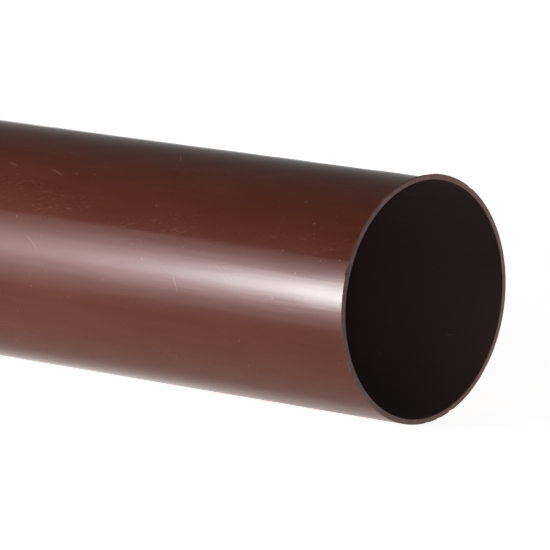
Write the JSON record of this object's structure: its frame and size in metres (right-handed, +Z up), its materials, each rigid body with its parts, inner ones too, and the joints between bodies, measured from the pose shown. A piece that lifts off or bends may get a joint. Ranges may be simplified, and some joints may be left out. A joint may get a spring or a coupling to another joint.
{
  "type": "rainwater downpipe",
  "caption": "Straight round rainwater downpipe: thin-walled extruded brown plastic pipe with plain cut ends that push into socketed fittings.",
  "frame": {"origin": "on the line that the lying pipe rests on, halfway along the pipe", "axes": "+X along the pipe towards the cut end that the picture shows, +Z up"},
  "size_m": [2.5, 0.068, 0.0678],
  "materials": {
    "brown_pvc": "semi-gloss reddish dark brown, as extruded, with matt saw-cut ends"
  },
  "bodies": {
    "root": {"downpipe": "brown_pvc"}
  },
  "joints": []
}
